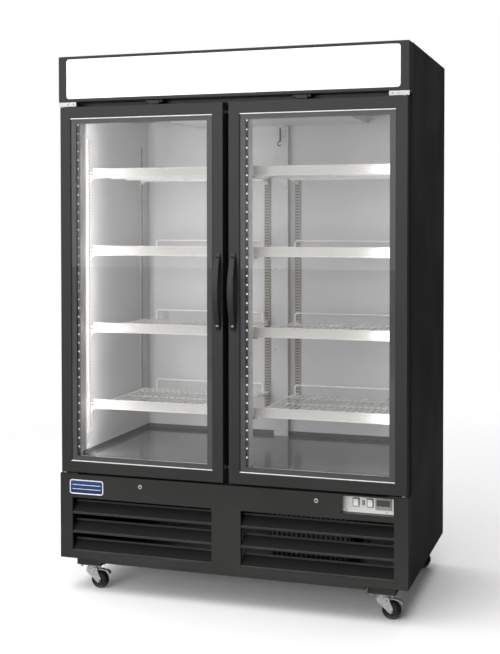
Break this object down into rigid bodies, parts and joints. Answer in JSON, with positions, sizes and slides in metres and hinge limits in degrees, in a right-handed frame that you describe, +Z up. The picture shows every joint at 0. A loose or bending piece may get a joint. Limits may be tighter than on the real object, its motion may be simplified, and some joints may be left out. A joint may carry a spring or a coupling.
{
  "type": "glass door merchandiser",
  "caption": "Upright refrigerated merchandiser with paired glass doors, a lit header, wire shelves, a louvered base and swivel casters.",
  "frame": {"origin": "centre of the footprint on the floor, under the middle of the bounding box", "axes": "+Z up, -Y out of the front where the doors open, +X on the right as seen from the front"},
  "size_m": [1.372, 0.85, 2.082],
  "materials": {
    "black_steel": "satin",
    "foam": "matte",
    "liner": "satin",
    "frame_vinyl": "satin",
    "lamp_lens": "gloss",
    "lit_acrylic": "satin",
    "black_moulding": "satin",
    "badge": "gloss",
    "control_enamel": "satin",
    "chrome": "polished",
    "zinc": "satin",
    "standard_steel": "satin",
    "fins": "satin",
    "motor_paint": "gloss",
    "dark_lead": "satin",
    "galvanised": "satin",
    "black_aluminium": "satin",
    "door_glass": "polished",
    "gasket": "matte",
    "white_moulding": "gloss",
    "wheel_rubber": "satin",
    "shelf_wire": "satin"
  },
  "bodies": {
    "cabinet": {"left_side_panel": "black_steel", "right_side_panel": "black_steel", "top_panel": "black_steel", "back_panel": "black_steel", "insulation": "foam", "inner_liner": "liner", "front_frame": "frame_vinyl", "led_strips": "lamp_lens", "header_housing": "black_steel", "header_light_panel": "lit_acrylic", "base_panel": "black_steel", "louver_blades": "black_moulding", "name_plate": "badge", "control_plate": "control_enamel", "lock_bezels": "chrome", "hinge_brackets": "zinc", "shelf_standards": "standard_steel", "rear_air_duct": "liner", "evaporator_cover": "liner", "heat_exchangers": "fins", "fan_motors": "motor_paint", "sensor_bulb": "dark_lead", "base_deck": "galvanised", "compressor": "motor_paint", "drain_pan": "galvanised", "rear_grille": "black_steel", "power_inlet": "black_moulding", "caster_mounts": "black_steel"},
    "left_door": {"left_door_frame": "black_aluminium", "left_door_glass": "door_glass", "left_door_gasket": "gasket", "left_handle": "black_moulding"},
    "left_lock": {"left_lock_plug": "chrome"},
    "right_door": {"right_door_frame": "black_aluminium", "right_door_glass": "door_glass", "right_door_gasket": "gasket", "right_handle": "black_moulding"},
    "right_lock": {"right_lock_plug": "chrome"},
    "lamp_switch_rocker": {"lamp_switch": "white_moulding"},
    "power_switch_rocker": {"power_switch": "white_moulding"},
    "front_left_swivel": {"front_left_caster_fork": "zinc"},
    "front_left_wheel": {"front_left_caster_wheel": "wheel_rubber"},
    "front_left_brake": {"front_left_brake_pedal": "zinc"},
    "front_right_swivel": {"front_right_caster_fork": "zinc"},
    "front_right_wheel": {"front_right_caster_wheel": "wheel_rubber"},
    "front_right_brake": {"front_right_brake_pedal": "zinc"},
    "rear_left_swivel": {"rear_left_caster_fork": "zinc"},
    "rear_left_wheel": {"rear_left_caster_wheel": "wheel_rubber"},
    "rear_right_swivel": {"rear_right_caster_fork": "zinc"},
    "rear_right_wheel": {"rear_right_caster_wheel": "wheel_rubber"},
    "condenser_fan_rotor": {"condenser_fan": "black_moulding"},
    "evaporator_fan_rotor": {"evaporator_fan": "black_moulding"},
    "left_shelf_1": {"left_shelf_1": "shelf_wire"},
    "left_shelf_2": {"left_shelf_2": "shelf_wire"},
    "left_shelf_3": {"left_shelf_3": "shelf_wire"},
    "left_shelf_4": {"left_shelf_4": "shelf_wire"},
    "right_shelf_1": {"right_shelf_1": "shelf_wire"},
    "right_shelf_2": {"right_shelf_2": "shelf_wire"},
    "right_shelf_3": {"right_shelf_3": "shelf_wire"},
    "right_shelf_4": {"right_shelf_4": "shelf_wire"}
  },
  "joints": [
    {"name": "left_door_hinge", "type": "hinge", "parent": "cabinet", "child": "left_door", "pos_m": [-0.668, -0.373, 0.468], "axis": [0, 0, -1], "range_deg": [0, 110], "stiffness_Nm_per_rad": 1.2, "springref_deg": -17.19},
    {"name": "left_lock_turn", "type": "hinge", "parent": "cabinet", "child": "left_lock", "pos_m": [-0.348, -0.381, 0.429], "axis": [0, 1, 0], "range_deg": [0, 90]},
    {"name": "right_door_hinge", "type": "hinge", "parent": "cabinet", "child": "right_door", "pos_m": [0.668, -0.373, 0.468], "axis": [0, 0, 1], "range_deg": [0, 110], "stiffness_Nm_per_rad": 1.2, "springref_deg": -17.19},
    {"name": "right_lock_turn", "type": "hinge", "parent": "cabinet", "child": "right_lock", "pos_m": [0.348, -0.381, 0.429], "axis": [0, 1, 0], "range_deg": [0, 90]},
    {"name": "lamp_switch_tilt", "type": "hinge", "parent": "cabinet", "child": "lamp_switch_rocker", "pos_m": [0.489, -0.3545, 0.428], "axis": [-1, 0, 0], "range_deg": [0, 14]},
    {"name": "power_switch_tilt", "type": "hinge", "parent": "cabinet", "child": "power_switch_rocker", "pos_m": [0.541, -0.3545, 0.428], "axis": [-1, 0, 0], "range_deg": [0, 14]},
    {"name": "front_left_swivel_turn", "type": "hinge", "parent": "cabinet", "child": "front_left_swivel", "pos_m": [-0.582, -0.309, 0.093], "axis": [0, 0, 1], "continuous": true},
    {"name": "front_left_wheel_roll", "type": "hinge", "parent": "front_left_swivel", "child": "front_left_wheel", "pos_m": [-0.552, -0.309, 0.034], "axis": [0, 1, 0], "continuous": true},
    {"name": "front_left_brake_press", "type": "hinge", "parent": "front_left_swivel", "child": "front_left_brake", "pos_m": [-0.568, -0.309, 0.071], "axis": [0, 1, 0], "range_deg": [0, 8]},
    {"name": "front_right_swivel_turn", "type": "hinge", "parent": "cabinet", "child": "front_right_swivel", "pos_m": [0.582, -0.309, 0.093], "axis": [0, 0, 1], "continuous": true},
    {"name": "front_right_wheel_roll", "type": "hinge", "parent": "front_right_swivel", "child": "front_right_wheel", "pos_m": [0.612, -0.309, 0.034], "axis": [0, 1, 0], "continuous": true},
    {"name": "front_right_brake_press", "type": "hinge", "parent": "front_right_swivel", "child": "front_right_brake", "pos_m": [0.596, -0.309, 0.071], "axis": [0, 1, 0], "range_deg": [0, 8]},
    {"name": "rear_left_swivel_turn", "type": "hinge", "parent": "cabinet", "child": "rear_left_swivel", "pos_m": [-0.582, 0.349, 0.093], "axis": [0, 0, 1], "continuous": true},
    {"name": "rear_left_wheel_roll", "type": "hinge", "parent": "rear_left_swivel", "child": "rear_left_wheel", "pos_m": [-0.552, 0.349, 0.034], "axis": [0, 1, 0], "continuous": true},
    {"name": "rear_right_swivel_turn", "type": "hinge", "parent": "cabinet", "child": "rear_right_swivel", "pos_m": [0.582, 0.349, 0.093], "axis": [0, 0, 1], "continuous": true},
    {"name": "rear_right_wheel_roll", "type": "hinge", "parent": "rear_right_swivel", "child": "rear_right_wheel", "pos_m": [0.612, 0.349, 0.034], "axis": [0, 1, 0], "continuous": true},
    {"name": "condenser_fan_spin", "type": "hinge", "parent": "cabinet", "child": "condenser_fan_rotor", "pos_m": [0.3, -0.183, 0.283], "axis": [0, 1, 0], "continuous": true},
    {"name": "evaporator_fan_spin", "type": "hinge", "parent": "cabinet", "child": "evaporator_fan_rotor", "pos_m": [0, 0.125, 1.953], "axis": [0, 1, 0], "continuous": true},
    {"name": "left_shelf_1_height", "type": "slide", "parent": "cabinet", "child": "left_shelf_1", "axis": [0, 0, 1], "range_m": [0, 0.05]},
    {"name": "left_shelf_2_height", "type": "slide", "parent": "cabinet", "child": "left_shelf_2", "axis": [0, 0, 1], "range_m": [0, 0.05]},
    {"name": "left_shelf_3_height", "type": "slide", "parent": "cabinet", "child": "left_shelf_3", "axis": [0, 0, 1], "range_m": [0, 0.05]},
    {"name": "left_shelf_4_height", "type": "slide", "parent": "cabinet", "child": "left_shelf_4", "axis": [0, 0, 1], "range_m": [0, 0.05]},
    {"name": "right_shelf_1_height", "type": "slide", "parent": "cabinet", "child": "right_shelf_1", "axis": [0, 0, 1], "range_m": [0, 0.05]},
    {"name": "right_shelf_2_height", "type": "slide", "parent": "cabinet", "child": "right_shelf_2", "axis": [0, 0, 1], "range_m": [0, 0.05]},
    {"name": "right_shelf_3_height", "type": "slide", "parent": "cabinet", "child": "right_shelf_3", "axis": [0, 0, 1], "range_m": [0, 0.05]},
    {"name": "right_shelf_4_height", "type": "slide", "parent": "cabinet", "child": "right_shelf_4", "axis": [0, 0, 1], "range_m": [0, 0.05]}
  ]
}
